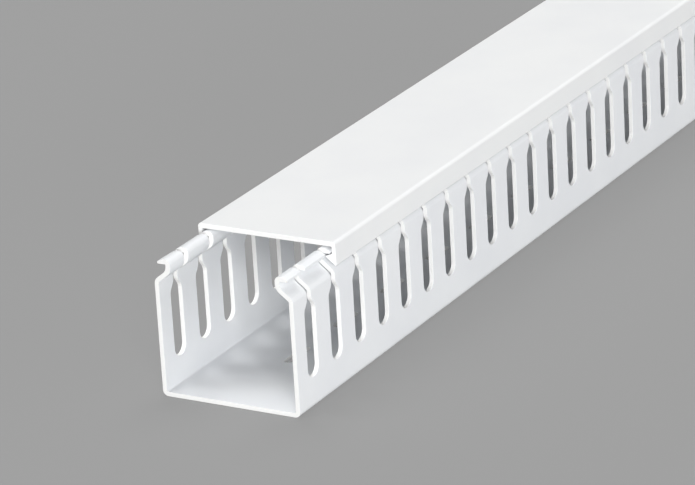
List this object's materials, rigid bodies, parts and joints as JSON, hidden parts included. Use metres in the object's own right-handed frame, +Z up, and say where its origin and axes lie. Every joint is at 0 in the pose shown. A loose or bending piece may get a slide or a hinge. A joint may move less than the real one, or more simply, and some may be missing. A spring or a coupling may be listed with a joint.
{
  "type": "slotted wiring raceway",
  "caption": "Length of rigid plastic wiring channel with slotted finger walls, curled clip rims, screw slots in its floor, and a flat clip-on cover set back from one end",
  "frame": {"origin": "the middle of the row of screw slots in the channel's floor, on the underside that lies on the panel", "axes": "X across the channel, +Y along the stock away from the end that the cover leaves bare, +Z up from the panel towards the cover"},
  "size_m": [0.065, 0.536, 0.0633],
  "materials": {
    "channel": "satin extruded",
    "cover": "satin extruded"
  },
  "bodies": {
    "root": {"slotted_channel": "channel", "clip_on_cover": "cover"}
  },
  "joints": []
}
